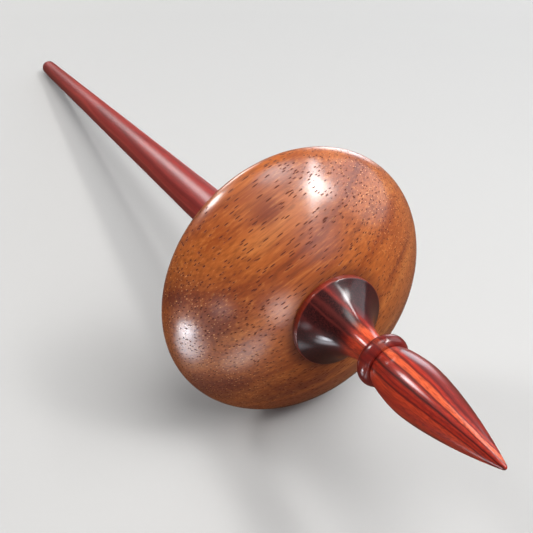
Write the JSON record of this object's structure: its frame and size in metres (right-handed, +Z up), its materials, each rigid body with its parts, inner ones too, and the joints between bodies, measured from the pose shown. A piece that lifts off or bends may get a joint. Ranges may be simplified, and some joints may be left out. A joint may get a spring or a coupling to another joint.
{
  "type": "drop spindle",
  "caption": "Lathe-turned wooden hand spindle: domed lens-shaped whorl, long tapered shaft, and a flanged, beaded finial ending in a spin point.",
  "frame": {"origin": "the spin point at the tip of the finial, on the spin axis", "axes": "+X along the spin axis, out of the spin point; the whorl and the shaft lie towards -X; +Z up as the spindle lies on its side"},
  "size_m": [0.2591, 0.06, 0.06],
  "materials": {
    "whorl_wood": "figured golden-brown hardwood with open pores, polished to a gloss",
    "shaft_wood": "pinkish-red hardwood, straight grain along the shaft, polished",
    "finial_wood": "orange-red hardwood with dark maroon growth bands along the axis, high gloss"
  },
  "bodies": {
    "root": {"whorl": "whorl_wood", "shaft": "shaft_wood", "finial": "finial_wood"}
  },
  "joints": []
}
